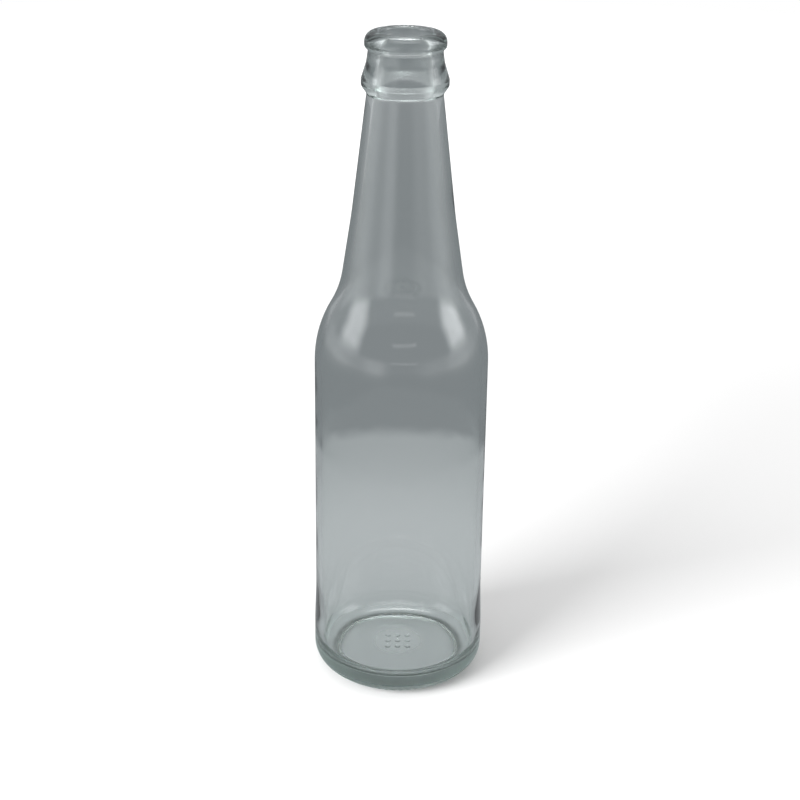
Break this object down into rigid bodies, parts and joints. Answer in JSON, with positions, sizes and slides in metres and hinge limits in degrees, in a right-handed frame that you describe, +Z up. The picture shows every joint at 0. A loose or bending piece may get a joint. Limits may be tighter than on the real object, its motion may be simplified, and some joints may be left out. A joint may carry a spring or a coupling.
{
  "type": "beer bottle",
  "caption": "Empty long-neck beer bottle of clear glass with a crown finish at the mouth, a rounded shoulder, a straight side for a label, a rounded heel and a pushed-up base.",
  "frame": {"origin": "centre of the base, on the surface that the bottle stands on", "axes": "+Z up along the bottle's axis, from the base to the mouth; the bottle is round, so X and Y are alike"},
  "size_m": [0.0604, 0.0604, 0.229],
  "materials": {
    "glass": "clear, with a slight grey-green tint, polished"
  },
  "bodies": {
    "root": {"bottle": "glass"}
  },
  "joints": []
}
